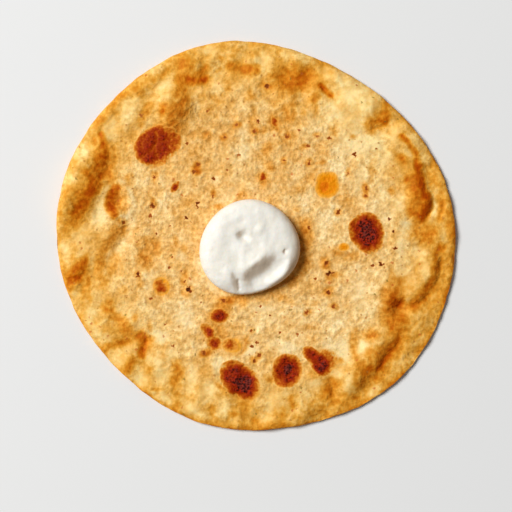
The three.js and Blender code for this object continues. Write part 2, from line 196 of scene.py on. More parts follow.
def inset_from_outline(x, y):
    """Distance in from the outline, found from the farthest vertices in each direction."""
    radius = np.hypot(x, y)
    direction = np.degrees(np.arctan2(y, x)) % DEGREES_ROUND
    farthest = np.zeros(DEGREES_ROUND)
    np.maximum.at(farthest, direction.astype(int) % DEGREES_ROUND, radius)
    outline = np.interp(direction, np.arange(DEGREES_ROUND) + 0.5, farthest, period=DEGREES_ROUND)
    return np.maximum(outline - radius, 0)


# A face counts as upper by how far up it looks: from this height of its normal, over this fade.
UP_FADE = 0.5
BREAD_UP_START = -0.1
YOGURT_UP_START = 0.1


def looks_up(piece_normals, start):
    return ease((piece_normals[:, 2] - start) / UP_FADE)


bread = fine_copy("paratha", "griddled_bread")
places = vertex_places(bread)
normals = vertex_normals(bread)
upper = looks_up(normals, BREAD_UP_START)

# Fine creases and pinches in the skin (path, width, height in mm).
SKIN_CREASES = [
    ([(-82, 51), (-80.5, 43), (-80, 36)], 2.0, -0.4),
    ([(-86, 52), (-80, 61), (-72, 70), (-62, 78)], 1.6, -0.25),
    ([(-34, 86.5), (-27.5, 86)], 2.4, -0.9),
    ([(34.5, 82.8), (38.5, 79.8), (42, 76.3), (44, 74)], 1.3, -0.7),
    ([(61, 57), (69, 59.5), (77, 63)], 1.5, -0.4),
    ([(94.5, 25), (97, 20), (97.3, 15), (95.2, 10), (93, 7.5)], 1.8, -0.6),
    ([(101.3, 21), (102.6, 15), (102.3, 9)], 1.4, -0.5),
    ([(102.5, -13), (101, -20), (98.5, -27), (95.5, -32.5), (90, -37.5), (84, -41)], 1.6, -0.5),
    ([(76.8, -36.5), (78.6, -39.5)], 4.6, -1.6),
    ([(79.5, -58), (75, -64.5), (70, -69.5), (68, -75)], 1.8, -0.5),
    ([(42, -79), (42.3, -90)], 1.5, -0.4),
    ([(-58.5, -57), (-60, -62), (-61, -66.5)], 1.6, -0.7),
    ([(-89.6, -25), (-89.2, -31)], 1.3, -0.4),
    ([(-92.5, -33), (-90.5, -38)], 1.1, -0.3),
]
bent_x, bent_y = wander(*disc_places(places))
skin = np.zeros(len(places))
for path, width, height in SKIN_CREASES:
    skin += height * along_path(bent_x, bent_y, path, width)
places[:, 2] += skin * upper

# The dough's edge, pressed a little unevenly by hand: waves round the outline, each with its
# count, its height in mm and its start. They reach this far in.
EDGE_WAVES = [(23, 0.1, 0.4), (37, 0.08, 2.1), (58, 0.06, 4.0), (91, 0.04, 1.3)]
EDGE_WAVES_WIDTH = 9
edge_x, edge_y = disc_places(places)
edge_direction = np.arctan2(edge_y, edge_x)
edge_radius = np.hypot(edge_x, edge_y)
unevenness = sum(high * np.sin(count * edge_direction + start) for count, high, start in EDGE_WAVES)
near_edge = ease(1 - inset_from_outline(edge_x, edge_y) / EDGE_WAVES_WIDTH)
places[:, 0] += unevenness * near_edge * edge_x / (edge_radius + 1)
places[:, 1] += unevenness * near_edge * edge_y / (edge_radius + 1)
move_vertices(bread, places)

LEAST_WEIGHT = 0.01


def weigh_vertices(piece, group_name, shares):
    """A vertex group that holds each vertex by its share."""
    group = piece.vertex_groups.new(name=group_name)
    for index, share in enumerate(shares):
        if share > LEAST_WEIGHT:
            group.add([index], float(share), "REPLACE")


def roughen(piece, texture_name, size, strength, depth, group_name):
    """Moves the skin up and down by a cloudy pattern and keeps the result."""
    texture = bpy.data.textures.new(texture_name, "CLOUDS")
    texture.noise_scale = size * MM
    texture.noise_depth = depth
    texture.noise_basis = "ORIGINAL_PERLIN"
    select_only(piece)
    bpy.ops.object.modifier_add(type="DISPLACE")
    push = piece.modifiers[-1]
    push.texture = texture
    push.texture_coords = "LOCAL"
    push.direction = "Z"
    push.mid_level = 0.5
    push.strength = strength * MM
    push.vertex_group = group_name
    bpy.ops.object.modifier_apply(modifier=push.name)


# The skin's unevenness: lumps on the rim, low swells all over, and crumb, weaker on the rim.
RIM_LUMPS_START = 66
RIM_LUMPS_FULL = 86
CRUMB_LOST_ON_RIM = 0.6
from_middle = np.hypot(*disc_places(places))
lumpy = upper * ease((from_middle - RIM_LUMPS_START) / (RIM_LUMPS_FULL - RIM_LUMPS_START))
weigh_vertices(bread, "upper_face", upper)
weigh_vertices(bread, "upper_rim", lumpy)
weigh_vertices(bread, "upper_middle", upper - CRUMB_LOST_ON_RIM * lumpy)
# Name, size in mm, height in mm, levels of finer detail, and where.
for name, size, strength, depth, group_name in (
    ("rim_lumps", 8.5, 2.0, 0, "upper_rim"),
    ("dough_swells", 9.0, 1.2, 1, "upper_face"),
    ("dough_crumb", 3.2, 0.8, 2, "upper_middle"),
):
    roughen(bread, name, size, strength, depth, group_name)

# ---------------------------------------------------------------- where the bread is toasted, with painted shade
# Dough that touched the griddle is toasted: golden at first, then orange, brown and, in the
# middle of a hot spot, almost black. Each vertex stores how far its skin has gone; a few marks paint shade
# the same way.
MARK_WANDER = 0.5
places = vertex_places(bread)
disc_x, disc_y = disc_places(places)
bent_x, bent_y = wander(disc_x, disc_y, MARK_WANDER)

# Golden to brown stretches, a few of them painted shade: path, half width, how far.
TOAST_AND_SHADE_STRETCHES = [
    # The groove inside the left roll, its dark core and its two fringes.
    ([(-100, 9), (-95, 17), (-90, 25), (-86, 33), (-83, 44)], 6.0, 0.5),
    ([(-98, 11), (-92, 19), (-88, 26), (-85.5, 33), (-84, 41)], 3.2, 1.0),
    ([(-84, 54), (-82.5, 48), (-81.5, 41)], 2.0, 0.95),
    ([(-83, 41), (-80, 34), (-78, 30)], 3.5, 0.45),
    ([(-103, 22), (-105, 12)], 3.0, 0.3),
    # The blister's dark inner side, which faces away from the light: partly toasted, partly painted shade.
    ([(-76, 25), (-78.2, 22), (-79.4, 18), (-78.3, 14), (-76.5, 11)], 2.2, 1.2),
    ([(-106, 0), (-103, -4)], 2.5, 0.25),
    # The crease inside the upper left roll and the blisters along it.
    ([(-88, 50), (-86, 58), (-81, 66), (-75, 73), (-66, 79), (-57, 83), (-50, 87), (-44, 92)], 2.4, 0.3),
    ([(-63, 61), (-60, 66), (-57, 71)], 2.4, 0.42),
    # The right flank of the big puff, and the small lumps beyond it.
    ([(-38, 94), (-38.5, 86), (-39.5, 76), (-41, 67), (-45, 59)], 4.8, 0.56),
    ([(-33, 87), (-29.5, 89.5), (-27, 91)], 2.2, 0.5),
    ([(-34, 84), (-28, 85)], 2.4, 0.85),
    ([(-46, 96), (-36, 101)], 3.0, 0.2),
    ([(-14, 92), (-9, 92.5)], 2.2, 0.4),
    ([(-5, 91), (1, 90)], 2.6, 0.72),
    # The brown hollow at the top and the crack beside it.
    ([(20, 94), (28, 94), (33, 92)], 3.0, 0.16),
    ([(25, 82), (28, 88)], 2.6, 0.75),
    ([(23, 82), (20, 73), (19, 64)], 3.0, 0.4),
    ([(35.5, 78), (32, 74)], 2.4, 0.4),
    ([(35.5, 81.8), (38.5, 79.3), (41.5, 76)], 1.4, 0.95),
    # The hollow at the end of the puff on the upper right.
    ([(62, 58.5), (67, 61), (71, 64)], 3.2, 0.6),
    ([(71, 64), (72, 73)], 2.6, 0.42),
    # The chain of marks along the right ridge, ending in a dark line.
    ([(80.5, 53), (84.5, 48.5), (87.5, 44), (89, 39)], 1.8, 0.82),
    ([(89.2, 38), (90, 32), (91, 26), (92.8, 21)], 2.2, 1.15),
    ([(92.3, 21), (94, 17), (93.2, 13), (91.8, 10.3)], 2.7, 1.35),
    ([(88, 31), (88, 24), (88.5, 15), (91, 5), (95, -3)], 4.8, 0.5),
    ([(87, 25), (86.5, 12)], 2.6, 0.65),
    ([(96, 38), (97, 28)], 3.0, 0.36),
    ([(100.3, 21), (101.6, 15), (101.5, 8)], 1.8, 0.5),
    # The crease outside the curled ridge.
    ([(101.2, -8), (100.3, -14), (99, -20), (97, -26), (94.5, -31.5), (90, -36), (85, -40)], 3.0, 0.74),
    ([(95.5, -28), (92, -34)], 3.0, 0.7),
    # The outer band of the right rim and of the bottom rim. The first, the low flange on the side away from
    # the light, is painted shade.
    ([(103, -14), (101, -28), (96, -42), (88, -55), (79, -66), (70, -76)], 4.5, 0.27),
    ([(101, 28), (106, 12), (108, -8), (107, -26), (103, -42), (96, -56), (86, -70), (75, -82)], 3.0, 0.32),
    ([(73, -84), (60, -92), (42, -99), (20, -105), (-8, -106), (-34, -102)], 3.6, 0.36),
    # The pit and the long step down from the lower right ridge.
    ([(79, -27), (75.5, -37), (77, -46)], 6.0, 0.55),
    ([(78.5, -47), (77.5, -56), (73, -64), (68, -71)], 5.0, 0.6),
    ([(83, -49), (82, -56)], 2.6, 0.42),
    ([(76.5, -60), (72, -66), (67, -73)], 2.7, 0.88),
    ([(65, -67), (61.5, -73), (59, -79), (57.5, -86)], 5.5, 0.64),
    ([(67, -73), (66, -79)], 2.6, 0.55),
    ([(54, -54), (54, -64), (56, -70)], 2.0, 0.32),
    ([(41.5, -80), (41, -90)], 3.4, 0.5),
    ([(54, -88), (44, -92), (32, -97), (24, -101)], 4.0, 0.36),
    # Between the folds of the bottom edge.
    ([(15, -96), (15, -104)], 2.2, 0.34),
    ([(20, -89), (20.5, -94)], 1.4, 0.4),
    ([(-8, -92), (-6, -101)], 5.0, 0.32),
    ([(-24, -94), (-23, -102)], 2.4, 0.34),
    ([(-43, -71), (-44, -80)], 2.8, 0.48),
    ([(-42, -83), (-44, -95)], 2.4, 0.26),
    # Creases and lumps of the lower left.
    ([(-59.5, -57), (-61, -62), (-62, -66)], 2.0, 0.95),
    ([(-59, -58), (-61, -61)], 3.2, 0.6),
    ([(-83, -63), (-78, -60), (-70, -58)], 2.2, 0.5),
    ([(-67.5, -68), (-70, -76)], 2.4, 0.42),
    ([(-82, -40), (-78, -45), (-72, -49), (-68, -56)], 3.4, 0.42),
    ([(-93, -29), (-95, -35)], 1.6, 0.35),
    ([(-91, -24), (-90.5, -31)], 1.4, 0.45),
    # Slanting grooves inside the left edge.
    ([(-73, 4), (-79, -4), (-84, -12), (-86, -18)], 3.0, 0.36),
    ([(-77.5, -11), (-79, -19), (-82, -27)], 2.4, 0.32),
    ([(-57, -4), (-60, -17)], 3.0, 0.26),
    # Painted warm shade and reflection: the dollop's shadow on the bread, tinted by warm light its own side
    # throws back.
    ([(26, 6), (27.5, -8), (25, -18), (19, -25), (10, -29)], 3.4, 0.34),
]
# Golden to brown patches, one of them partly painted shade: x, y, half length, half width, turn, how far.
TOAST_AND_SHADE_PATCHES = [
    # Upper left; the second patch, on the blister's dark inner side, is partly painted shade.
    (-76.2, 17.5, 4.6, 7.0, 4, 0.42), (-77.6, 22.3, 1.8, 2.4, 30, 0.9), (-64, 78, 3.6, 3.2, 0, 0.45),
    (-76, 71, 2.2, 2.6, 0, 0.34), (-12, 99, 3.0, 3.0, 0, 0.32), (-1, 64, 2.6, 5.0, 0, 0.26),
    (-66, 61, 3.6, 2, 30, 0.26), (-45, 68, 6.0, 4.2, 0, 0.42), (-49.5, 67.5, 1.9, 3.0, 0, 0.75),
    (-36, 84.5, 2.2, 2.8, 0, 0.9), (-29, 85.4, 3.0, 2.0, 0, 1.1), (-18, 96, 1.8, 1.6, 0, 0.4),
    (-20, 90, 2.2, 1.3, 40, 0.34), (-3, 75.5, 2.4, 2.6, 0, 0.42), (-10, 59.6, 2.0, 1.7, 0, 0.55),
    (-16.7, 53.3, 1.9, 1.7, 0, 0.55), (-26, 54, 2.4, 2.2, 0, 0.34), (0, 56.8, 1.9, 1.6, 0, 0.55),
    (-87.5, 51, 1.4, 3.0, 0, 0.4), (-55.7, 17, 1.8, 2.8, 0, 0.55), (-23.2, 22.5, 1.2, 2.4, 0, 0.45),
    (-20, 15.5, 2.2, 1.2, 30, 0.42), (-72.5, 7.5, 2.2, 1.8, 30, 0.5), (-8, 22, 2.4, 1.0, 30, 0.3),
    (-68.5, 31.5, 2.0, 1.8, 0, 0.34), (-24, 72, 8, 6, 0, 0.2), (-20, 72, 2.6, 2, 0, 0.38),
    (-55, 31.8, 1.8, 2.8, 10, 0.42), (-15, 81, 1.6, 2.6, 0, 0.3), (-91, 33, 2.5, 2.5, 0, 0.6),
    (-76, 44, 2.2, 2.2, 0, 0.28), (-31.8, 35.4, 2.3, 2.4, 0, 0.85), (-31.2, 38.5, 1.8, 1.8, 0, 0.65),
    (-32, 56, 8, 12, 0, 0.13), (-38, 20, 30, 14, 20, 0.06),
    # Upper right.
    (21, 85, 12, 7, 0, 0.74), (15, 54, 5.0, 6.0, 0, 0.24), (43, 57, 2.6, 5.0, 0, 0.28),
    (71, 53.5, 3, 3.4, 0, 0.26), (17, 85.5, 3.6, 2.8, 0, 0.8), (25, 80, 2.4, 2.0, 0, 0.45),
    (7, 81.2, 2.3, 1.5, 0, 0.8), (7, 81, 4.0, 3.6, 0, 0.36), (33, 69, 2.0, 3.6, 0, 0.3),
    (18.5, 67, 3.0, 3.4, 0, 0.44), (26, 67, 2.0, 2.0, 0, 0.28), (15, 72, 5, 7, 0, 0.22),
    (10.5, 60.5, 3.2, 4.4, 0, 0.4), (12.5, 57.5, 2.0, 2.6, 0, 0.42), (5, 57.5, 1.8, 2.0, 0, 0.38),
    (17.4, 54, 1.9, 2.0, 0, 0.6), (26.8, 48, 2.3, 1.6, 0, 0.52), (16, 41, 1.5, 1.6, 0, 0.5),
    (7.5, 37, 2.6, 2.8, 0, 0.38), (7, 46, 2.2, 3.4, 0, 0.3), (36, 39.5, 2.4, 1.2, 20, 0.36),
    (29.6, 39, 1.9, 1.9, 0, 0.42), (4, 30.4, 3.2, 3.8, 0, 0.36), (24, 25, 3.4, 2.2, 20, 0.24),
    (23, 14, 1.8, 1.2, 0, 0.3), (45.7, 12.3, 2.0, 1.6, 0, 0.6), (60.5, 25.5, 1.6, 3.0, 0, 0.5),
    (60.4, 21.6, 1.4, 1.8, 0, 0.42), (53.3, 53.4, 1.6, 1.4, 0, 0.4), (50.6, 33.8, 1.3, 2.0, 0, 0.4),
    (74.4, 24, 1.6, 1.8, 0, 0.42), (70.8, 62.3, 2.4, 2.4, 0, 0.9), (67, 63, 7.0, 5.0, 40, 0.4),
    (80.2, 42, 2.2, 2.2, 0, 0.65), (80.2, 42, 3.6, 3.8, 0, 0.34), (82.7, 30, 1.6, 2.2, 0, 0.6),
    (64, 34, 2.0, 6, 0, 0.22), (33, 33, 7, 3, 30, 0.18), (27.5, 2, 2.0, 2.4, 0, 0.4),
    (48, 20, 3, 5, 0, 0.2), (92, 1, 7.5, 5, 0, 0.62), (97.2, 1.6, 1.5, 1.6, 0, 0.65),
    (90.2, 26.5, 2.4, 3.0, 0, 1.0), (91, 13, 2.8, 3.0, 0, 0.9), (34, 54, 2.0, 1.4, 0, 0.34),
    # Lower right.
    (103, -8, 2.2, 3.2, 0, 0.4), (76.5, -37, 3.4, 3.4, 0, 1.3), (76, -36.5, 7, 8, 0, 0.55),
    (79, -34.2, 2.0, 1.8, 0, 0.85), (80.5, -46.5, 1.8, 2.2, 0, 0.5), (74.5, -52, 1.4, 2.2, 0, 0.75),
    (77.5, -57, 2.0, 2.4, 0, 0.65), (61.5, -72, 3.0, 2.6, 0, 0.85), (56, -88.5, 3.0, 1.8, 20, 0.5),
    (38, -87, 3.4, 3.8, 0, 0.62), (33, -97, 4.0, 2.8, 30, 0.45), (41, -97, 1.8, 1.4, 0, 0.4),
    (62.5, -55, 4.2, 2.8, 10, 0.5), (53, -12.5, 3.8, 2.6, 30, 0.34), (46.5, -8.5, 3.6, 2.4, 0, 0.34),
    (64, -6.2, 4.6, 1.8, 10, 0.42), (46, -69, 1.6, 1.6, 0, 0.5), (38.4, -16, 2.4, 3.0, 0, 0.58),
    (40, -22, 2.4, 3.6, 0, 0.36), (43, -22, 3.4, 1.6, 0, 0.34), (40.2, -31.4, 2.4, 2.2, 0, 0.45),
    (43, -39.4, 2.2, 1.6, 0, 0.42), (14, -34.5, 2.4, 1.6, 0, 0.3), (20, -37, 2.4, 1.6, 0, 0.2),
    (31, -37, 4.0, 1.6, 0, 0.2), (28.4, -42.4, 2.2, 1.4, 20, 0.36), (31, -50.5, 5, 1.6, 0, 0.16),
    (8, -78, 3.0, 3.0, 0, 0.4), (88.5, -62, 4, 2.6, 50, 0.42), (83.5, -70, 4, 2.6, 60, 0.45),
    (67, -64, 4, 4, 0, 0.5), (30, -94, 5, 8, 0, 0.36), (97, -54, 1.8, 3, 0, 0.26),
    (33, -76.5, 3.0, 2.0, 0, 0.3), (-0.6, -68.6, 2.2, 1.8, 0, 0.5), (2, -66, 1.8, 1.8, 0, 0.42),
    # Lower left.
    (-97, -20.5, 8.5, 4.0, 62, 1.0), (-93.5, -16, 2.0, 3.6, -20, 0.8), (-97, -24, 3.4, 3.0, 20, 1.0),
    (-100, -12.5, 2.0, 4.0, 0, 0.3), (-84.5, -22.5, 1.8, 2.0, 0, 0.4),
    (-60.5, -12.2, 3.6, 3.0, 0, 0.45), (-55, -6, 2.6, 4.6, 10, 0.34), (-43, -3, 1.2, 3.0, 0, 0.32),
    (-38.5, -7.5, 1.8, 2.4, 0, 0.22), (-38, -31.5, 2.6, 3.0, 0, 0.36),
    (-64, -21.7, 2.2, 1.8, 0, 0.36), (-51.5, -28.5, 5.0, 5.2, 0, 0.42),
    (-36.5, -30, 2.6, 2.6, 0, 0.4), (-38.5, -24.6, 2.2, 3.6, 0, 0.4), (-63, -26, 1.8, 2.6, 20, 0.3),
    (-72, -30.5, 2.4, 2.0, 0, 0.3), (-81.5, -42, 3.0, 2.4, 0, 0.6), (-65.8, -45.4, 1.7, 2.2, 0, 0.58),
    (-62.5, -56, 3.0, 3.2, 0, 0.75), (-58, -51, 2.0, 4.0, 0, 0.26), (-78.5, -38, 2.2, 3.0, 0, 0.36),
    (-90, -34, 2.4, 2.4, 0, 0.36), (-53, -84.5, 4, 1.4, 0, 0.36), (-69.5, -71, 2.2, 2.4, 0, 0.36),
    (-57.9, -73.3, 2.2, 1.8, 40, 0.45), (-41, -74, 2.6, 3.0, 0, 0.34),
    (-16, -35.4, 3.0, 1.6, 0, 0.75), (-13, -35.5, 3.0, 2.0, 0, 0.6), (-17, -38, 4.4, 4.0, 0, 0.4),
    (-6.5, -37, 2.6, 2.2, 0, 0.36), (-8, -34, 4, 1.4, 0, 0.36), (-27, -64, 3.2, 1.8, 20, 0.75),
    (-11, -61, 5.4, 3.6, 0, 0.5), (-6.5, -61.5, 2.0, 2.0, 0, 0.45), (-4.5, -57.5, 1.4, 2.6, 0, 0.36),
    (-2, -52.3, 1.6, 1.6, 0, 0.4), (0, -102, 2.8, 2.4, 0, 0.45), (-15, -102, 2, 2.0, 0, 0.26),
    (-20, -54, 5.5, 8, 0, 0.26), (-20, -44, 5.5, 4.5, 0, 0.4), (-12, -97, 3.0, 3.4, 0, 0.5),
    (-23, -100, 4, 1.6, 0, 0.3), (-17.5, -84.5, 4, 1.8, -45, 0.5), (-5, -87, 6, 3.2, 0, 0.6),
    (-60, -4, 4, 3, 0, 0.18),
]
# Clear orange blisters: x, y, half length, half width, turn, how far, fade in mm.
AMBER_SPOTS = [
    (39.5, 27.3, 6.0, 6.8, 0, 0.72, 1.6),
    (37.8, 26.4, 4.0, 4.8, 0, 0.95, 2.4),
    (-51.2, -28.4, 3.6, 4.2, 0, 0.8, 2.4),
    (-12.2, -60.6, 4.2, 3.0, 10, 0.7, 3.0),
    (48.2, -6.8, 1.8, 1.5, 0, 0.95, 1.6),
]
# Hot spots: x, y, half length, half width, turn, how far the middle has gone, fade in mm.
HOT_SPOTS = [
    (-53.4, 48.6, 13.0, 10.1, 38, 0.26, 1.6),
    (-50.6, 50.2, 9.4, 8.4, 36, 0.42, 2.0),
    (-55.3, 48.8, 11.2, 8.4, 48, 0.61, 1.6),
    (61.0, 1.0, 9.1, 7.8, -72, 0.84, 2.6),
    (61.6, 0.6, 7.2, 6.0, -72, 0.96, 2.6),
    (-8.4, -79.6, 10.8, 7.3, -49, 0.78, 2.4),
    (-5.8, -81.4, 7.3, 6.0, -50, 0.96, 2.6),
    (17.5, -74.1, 7.9, 6.9, 75, 0.76, 2.2),
    (17.8, -73.6, 5.0, 4.0, 70, 1.02, 2.6),
    (29.8, -65.2, 3.8, 2.5, -38, 0.68, 1.6),
    (32.8, -67.6, 4.2, 3.1, -45, 0.74, 1.6),
    (36.2, -70.4, 5.6, 4.1, -52, 0.86, 1.8),
    (39.0, -68.0, 5.4, 4.6, -50, 0.32, 2.2),
    (-19.8, -43.9, 4.1, 3.0, -5, 0.74, 1.6),
    (-22.6, -59.2, 3.0, 2.9, 40, 0.7, 1.6),
    (-25.4, -52.3, 3.6, 2.4, -50, 0.56, 1.6),
    (-13.4, -60.2, 3.2, 2.4, 10, 0.4, 2.0),
    (-51.9, -28.6, 2.8, 3.4, 0, 0.48, 2.0),
    (10.7, 60.9, 1.5, 2.6, 0, 0.5, 1.4),
    (-43.7, 26.0, 2.4, 1.3, 65, 0.74, 1.2),
    (3.9, 31, 1.2, 1.9, 0, 0.66, 1.2),
]
# Pale puffs and crests that stayed clear of the griddle: x, y, half length, half width, turn and
# how much less they are toasted.
PALE_PATCHES = [
    # Upper left.
    (-96, 42, 7, 4, 65, 0.2), (-102, 30, 9, 3, 70, 0.18), (-79, 57.5, 4.5, 6.5, 0, 0.32),
    (-69, 69, 6, 4, 45, 0.2), (-58, 80, 3, 4, 0, 0.15), (-49, 81, 6, 3, 15, 0.3),
    (-55, 90, 4, 2.5, 30, 0.2), (-25, 101, 5, 2.5, 0, 0.24), (-36, 96.5, 3, 2.4, 0, 0.28),
    (-6, 84.5, 3, 2, 0, 0.1), (-21, 81, 2.5, 4, 0, 0.18), (-7, 57, 3, 5, 0, 0.2),
    (-4, 45, 5, 4, 0, 0.16), (-13, 23, 7, 4, 30, 0.2), (-21, 29, 2, 2, 0, 0.2),
    (-49, 12, 3, 7, 10, 0.15), (-66, 9, 3, 8, -10, 0.15), (-84.5, 10, 4, 6, 0, 0.22),
    (-95, -2, 3.5, 4.5, 0, 0.25), (-104, -8, 2.4, 5, 0, 0.28), (-102.5, 8, 2.0, 4, 0, 0.12),
    (-53, 76, 8, 4.5, 70, 0.1), (-73, 61, 7, 3.5, 50, 0.1), (-37, 29, 5, 7, 0, 0.14),
    (-48, 27, 3, 7, 0, 0.14), (-10, 31, 5, 4, 0, 0.14), (-26, 12, 6, 4, 0, 0.1),
    (-94, 4, 4, 3, 0, 0.2), (-35, 77, 3, 5, 0, 0.2),
    # Upper right.
    (5, 95, 6, 7, 0, 0.2), (18, 98.5, 5, 2.5, 0, 0.18), (28, 97, 3, 3, 0, 0.16),
    (38, 88.5, 4, 3, -20, 0.26), (47, 86, 7, 3, -35, 0.24), (56, 74, 11, 9, -30, 0.38),
    (49, 66, 13, 9, 0, 0.24), (56, 63, 5, 4, 0, 0.28), (58, 28, 3.5, 14, 0, 0.18),
    (40, 88, 3, 2.5, 0, 0.2), (54, 51, 11, 12, 0, 0.22), (35, 62, 7, 9, 0, 0.14),
    (44, 37, 7, 6, 0, 0.12), (69, 22, 8, 16, 0, 0.12), (77, 55, 5, 3, 40, 0.2),
    (84, 45, 2.6, 3.5, 0, 0.25), (71, 40, 4, 4.5, 0, 0.18), (79.5, 17, 3.5, 6, 0, 0.2),
    (73, 15, 5, 3, 0, 0.16), (82, 3, 4, 6, 0, 0.22), (20, 27, 4, 3.5, 0, 0.15),
    (30, 20, 3, 6, 0, 0.12), (12, 26, 3, 4, 0, 0.12), (98.5, 14, 1.8, 4, 0, 0.2),
    (103.5, 26, 1.8, 5, 0, 0.15), (102.5, -1, 2, 3, 0, 0.2), (95, 7.5, 3, 1.8, 0, 0.2),
    (36, 4, 6, 8, 0, 0.12), (66, 52, 6, 6, 0, 0.14), (67, 34, 3, 9, 20, 0.1),
    (89, 51, 5, 3, -40, 0.18),
    # Lower left.
    (-75, -8, 3, 3.5, 0, 0.2), (-89, -13, 3, 5, 0, 0.18), (-56, -23, 3, 4, 50, 0.2),
    (-91, -46, 3, 6, 0, 0.28), (-87, -53, 5, 3, -45, 0.2), (-80, -56, 3, 2.5, 0, 0.22),
    (-38, -45, 7, 8, 0, 0.2), (-55, -46, 4, 4, 0, 0.12), (-72, -42, 4, 4, 0, 0.1),
    (-75.5, -68.5, 4, 3.5, 0, 0.32), (-70, -63.5, 5, 2.5, 0, 0.18), (-52, -56, 4, 3.5, 0, 0.3),
    (-62, -79, 4, 5, 45, 0.28), (-52, -78, 4, 5, 0, 0.24), (-53, -67, 2.5, 5, 0, 0.18),
    (-45, -65, 3, 5, 0, 0.2), (-35, -96, 5, 5, -20, 0.34), (-34.5, -77, 3.5, 6, -15, 0.28),
    (-26, -85, 4, 3.5, 0, 0.34), (-50, -89, 5, 2.5, -30, 0.2), (-26, -91, 3, 4, 0, 0.12),
    (-17, -95, 3, 4, 0, 0.22), (-30, -17, 2.5, 8, 30, 0.15), (-99.5, -34, 2, 4, 0, 0.15),
    (-20, -71, 3, 4, 0, 0.2), (-79, -12, 2.5, 4, 0, 0.2), (-93, -8, 3, 4, -30, 0.2),
    (-57, -27.5, 2, 3.5, -30, 0.28), (-40, -11.5, 3, 3.5, 0, 0.22), (-22.5, -28.5, 2.5, 6, 50, 0.2),
    (-2, -63, 4, 3, 30, 0.34),
    # Lower right.
    (4, -40, 6, 3, 0, 0.22), (57, -30, 9, 14, 0, 0.18), (46, -46, 13, 9, 0, 0.12),
    (83, -26, 3.6, 4.5, 0, 0.34), (93, -19, 2.6, 7, 15, 0.22), (60, -61.5, 3, 4, 0, 0.38),
    (52.5, -81.5, 3.5, 4.5, 0, 0.38), (44, -77, 4, 3, 0, 0.25), (33, -81, 4, 3, 0, 0.25),
    (8.5, -93.5, 3, 5, 0, 0.26), (16, -87.5, 4, 2, 0, 0.2), (84, -14, 3, 3, 0, 0.16),
    (15, -49, 18, 9, 0, 0.14), (24, -56, 5, 4, 0, 0.2), (15, -61, 9, 4, 0, 0.2),
    (48, -63, 4, 8, 0, 0.28), (41, -60, 6, 4, 0, 0.2), (57, -18, 4, 4, 0, 0.15),
    (80, -22, 4, 4.5, 0, 0.28), (80, -8, 3.5, 10, 0, 0.22), (90, -9, 3.5, 4, 0, 0.2),
    (100, -31, 3, 10, -20, 0.12), (91, -46, 5, 5, 0, 0.12), (64, -86.5, 4, 3, 30, 0.28),
    (13, -92, 4, 6, 20, 0.26), (7, -101, 4, 3, 0, 0.22), (28, -90, 3, 6, 0, 0.18),
    (76, -73, 6, 4, 50, 0.06), (64, -62, 3, 4, 0, 0.16), (72, -24, 5, 5, 0, 0.18),
    (87, -59, 4, 5, 0, 0.04), (41, -77, 3, 3.5, 0, 0.16), (20, -102, 4, 2, 0, 0.12),
]
# The pale ring round the burst blister: path, half width, how much less it is toasted.
PALE_STRETCHES = [
    ([(-71, 28.4), (-78, 28.6), (-83, 22.5), (-83, 15), (-80.8, 10.8)], 1.4, 0.18),
    ([(-74, 9), (-69, 10.5), (-66.8, 18), (-69, 25.5)], 1.3, 0.18),
]
# The golden tint of the rim, strongest at the edge and gone this far in.
RIM_TINT = 0.17
RIM_TINT_WIDTH = 34
# Painted shade: the very edge is painted browner on the side away from the light, which lies towards this
# direction, in degrees from +X.
SHADED_EDGE_PAINT = 0.5
SHADED_EDGE_WIDTH = 3.4
SHADED_EDGE_TOWARDS = -45
# A soft mark has fallen to half its level at this share of its reach.
HALF_LEVEL_SHARE = 0.54
# How sharply overlapping marks keep to the strongest one.
OVERLAP_POWER = 3


def soft_patch(x, y, patch):
    """1 in the middle of an ellipse and a half at its border."""
    share = ellipse_share(x, y, patch[0], patch[1], patch[2], patch[3], patch[4])
    return patch[5] * soft_hump(share * HALF_LEVEL_SHARE)


def spot_level(x, y, spot):
    """How far a spot's skin has gone: the full level in the middle, fading across its edge."""
    centre_x, centre_y, length, width, turn, middle, fade = spot
    away = (ellipse_share(x, y, centre_x, centre_y, length, width, turn) - 1) * (length + width) / 2
    return middle * np.clip(0.5 - away / (2 * fade), 0, 1)


def store_values(piece, name, values):
    attribute = piece.data.attributes.new(name, "FLOAT", "POINT")
    attribute.data.foreach_set("value", values.astype(np.float32))


inset = inset_from_outline(disc_x, disc_y)
overlap = (RIM_TINT * (1 - ease(inset / RIM_TINT_WIDTH))) ** OVERLAP_POWER
# Painted shade along the edge on the side away from the light.
shaded_side = ease(0.5 + np.cos(np.arctan2(disc_y, disc_x) - math.radians(SHADED_EDGE_TOWARDS)))
overlap += (SHADED_EDGE_PAINT * shaded_side * (1 - ease(inset / SHADED_EDGE_WIDTH))) ** OVERLAP_POWER
for path, half_width, level in TOAST_AND_SHADE_STRETCHES:
    stretch = level * along_path(bent_x, bent_y, path, half_width / HALF_LEVEL_SHARE, tapered=False)
    overlap = overlap + stretch ** OVERLAP_POWER
for patch in TOAST_AND_SHADE_PATCHES:
    overlap = overlap + soft_patch(bent_x, bent_y, patch) ** OVERLAP_POWER
toast_and_painted_shade = overlap ** (1 / OVERLAP_POWER)
pale = np.zeros(len(places))
for patch in PALE_PATCHES:
    pale = np.maximum(pale, soft_patch(bent_x, bent_y, patch))
for path, half_width, level in PALE_STRETCHES:
    stretch = level * along_path(bent_x, bent_y, path, half_width / HALF_LEVEL_SHARE, tapered=False)
    pale = np.maximum(pale, stretch)
char = np.zeros(len(places))
for spot in HOT_SPOTS:
    char = np.maximum(char, spot_level(bent_x, bent_y, spot))
amber = np.zeros(len(places))
for spot in AMBER_SPOTS:
    amber = np.maximum(amber, spot_level(bent_x, bent_y, spot))

